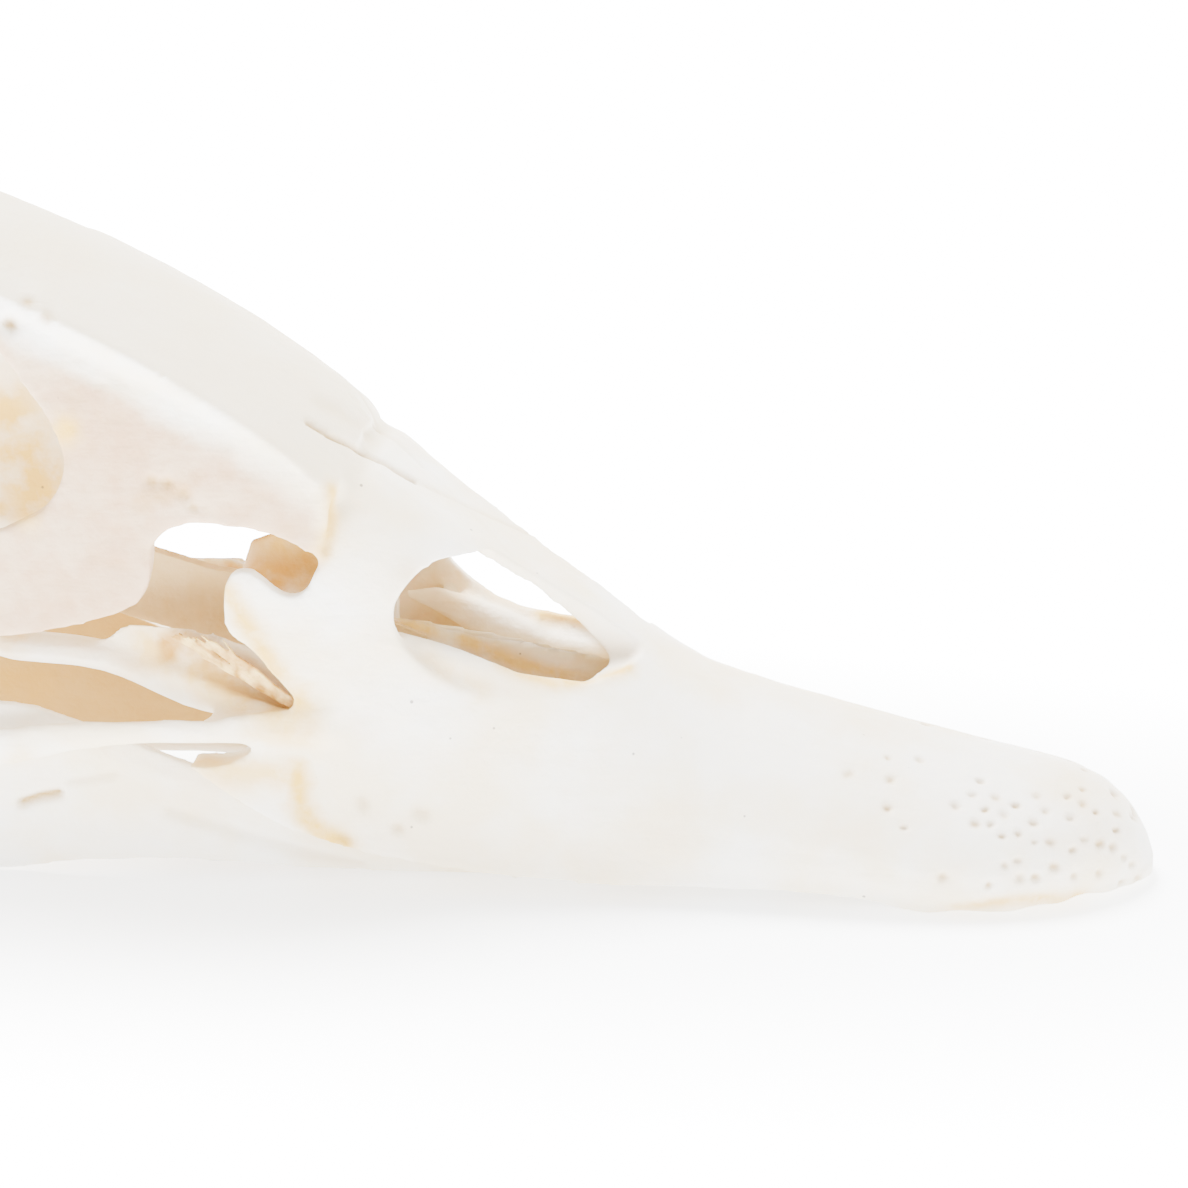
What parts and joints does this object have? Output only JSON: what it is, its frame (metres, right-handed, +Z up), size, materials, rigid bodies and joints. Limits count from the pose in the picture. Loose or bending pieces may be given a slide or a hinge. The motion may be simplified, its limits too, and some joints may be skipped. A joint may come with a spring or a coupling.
{
  "type": "duck skull",
  "caption": "Life-size duck skull with closed lower jaw, long flat bill, side nostrils, large eye sockets and a rounded braincase, resting on its bill rim and jaw.",
  "frame": {"origin": "bottom centre of the bounding box, on the surface the skull rests on", "axes": "+X forward to the tip of the bill, +Y to the animal's left, +Z up"},
  "size_m": [0.124, 0.0322, 0.052],
  "materials": {
    "roof_bone": "satin",
    "bill_bone": "satin",
    "jaw_bone": "satin",
    "porous_bone": "matte",
    "thin_bone": "matte"
  },
  "bodies": {
    "root": {"braincase": "roof_bone", "frontal": "roof_bone", "interorbital_septum": "thin_bone", "premaxilla": "bill_bone", "vomer": "thin_bone", "lacrimal_right": "porous_bone", "lacrimal_left": "porous_bone", "nasal_right": "bill_bone", "nasal_left": "bill_bone", "maxilla_right": "bill_bone", "maxilla_left": "bill_bone", "jugal_bar_right": "bill_bone", "jugal_bar_left": "bill_bone", "palatine_right": "thin_bone", "palatine_left": "thin_bone", "pterygoid_right": "thin_bone", "pterygoid_left": "thin_bone", "quadrate_right": "bill_bone", "quadrate_left": "bill_bone", "mandible_right": "jaw_bone", "mandible_left": "jaw_bone"}
  },
  "joints": []
}
